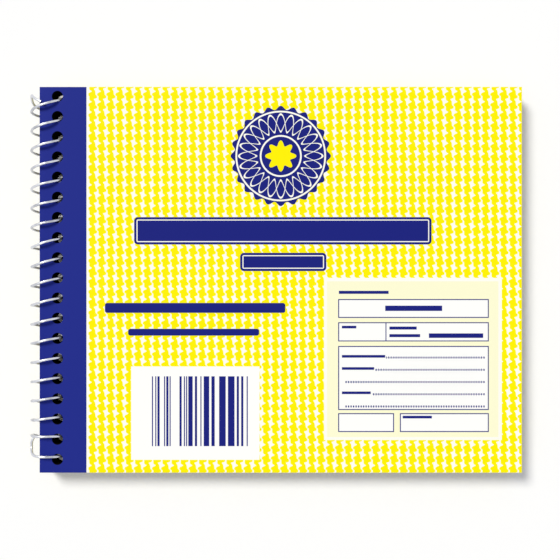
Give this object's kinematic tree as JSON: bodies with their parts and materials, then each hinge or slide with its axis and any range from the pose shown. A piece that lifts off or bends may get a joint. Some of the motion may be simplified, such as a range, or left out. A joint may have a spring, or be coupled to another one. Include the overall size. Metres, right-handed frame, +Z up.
{
  "type": "duplicate receipt book",
  "caption": "Wire-spiral receipt book: card cover that folds back, tear-off white receipts over yellow copies, a loose writing shield and a stiff back board.",
  "frame": {"origin": "on the table, below the middle of the closed book and its spiral", "axes": "+X from the spine to the fore edge, +Y to the head of the cover, +Z up through the front cover"},
  "size_m": [0.1302, 0.1016, 0.009],
  "materials": {
    "bright_wire": "bright plated steel wire",
    "printed_card": "yellow and white satin print on card",
    "spine_band": "dark blue satin print on card",
    "back_board": "plain grey board",
    "shield_card": "plain manila card",
    "receipt_paper": "thin white carbonless paper",
    "duplicate_paper": "thin yellow carbonless paper"
  },
  "bodies": {
    "book_block": {"back_cover": "back_board", "duplicate_margin_01": "duplicate_paper", "duplicates_02_08": "duplicate_paper", "duplicates_09_15": "duplicate_paper", "duplicates_16_22": "duplicate_paper", "duplicates_23_29": "duplicate_paper", "duplicates_30_36": "duplicate_paper", "duplicates_37_43": "duplicate_paper", "duplicates_44_50": "duplicate_paper", "front_cover_margin": "spine_band", "receipt_stub_01": "receipt_paper", "receipt_stubs_02_08": "receipt_paper", "receipt_stubs_09_15": "receipt_paper", "receipt_stubs_16_22": "receipt_paper", "receipt_stubs_23_29": "receipt_paper", "receipt_stubs_30_36": "receipt_paper", "receipt_stubs_37_43": "receipt_paper", "receipt_stubs_44_50": "receipt_paper", "receipts_02_08": "receipt_paper", "receipts_09_15": "receipt_paper", "receipts_16_22": "receipt_paper", "receipts_23_29": "receipt_paper", "receipts_30_36": "receipt_paper", "receipts_37_43": "receipt_paper", "receipts_44_50": "receipt_paper", "spiral_wire": "bright_wire"},
    "front_cover": {"front_cover": "printed_card"},
    "first_set": {"duplicate_01": "duplicate_paper"},
    "first_receipt": {"receipt_01": "receipt_paper"},
    "shield": {"writing_shield": "shield_card"}
  },
  "joints": [
    {"name": "front_cover_fold", "type": "hinge", "parent": "book_block", "child": "front_cover", "pos_m": [-0.04964, 0, 0.0073], "axis": [0, -1, 0], "range_deg": [0, 169]},
    {"name": "first_set_turn", "type": "hinge", "parent": "book_block", "child": "first_set", "pos_m": [-0.04794, 0, 0.00704], "axis": [0, -1, 0], "range_deg": [0, 155]},
    {"name": "receipt_tear_off", "type": "slide", "parent": "first_set", "child": "first_receipt", "axis": [1, 0, 0], "range_m": [0, 0.125]},
    {"name": "shield_draw", "type": "slide", "parent": "book_block", "child": "shield", "axis": [1, 0, 0], "range_m": [0, 0.13]}
  ],
  "couplings": [
    {"joint": "first_set_turn", "follows": "front_cover_fold", "ratio": 0.91716}
  ]
}
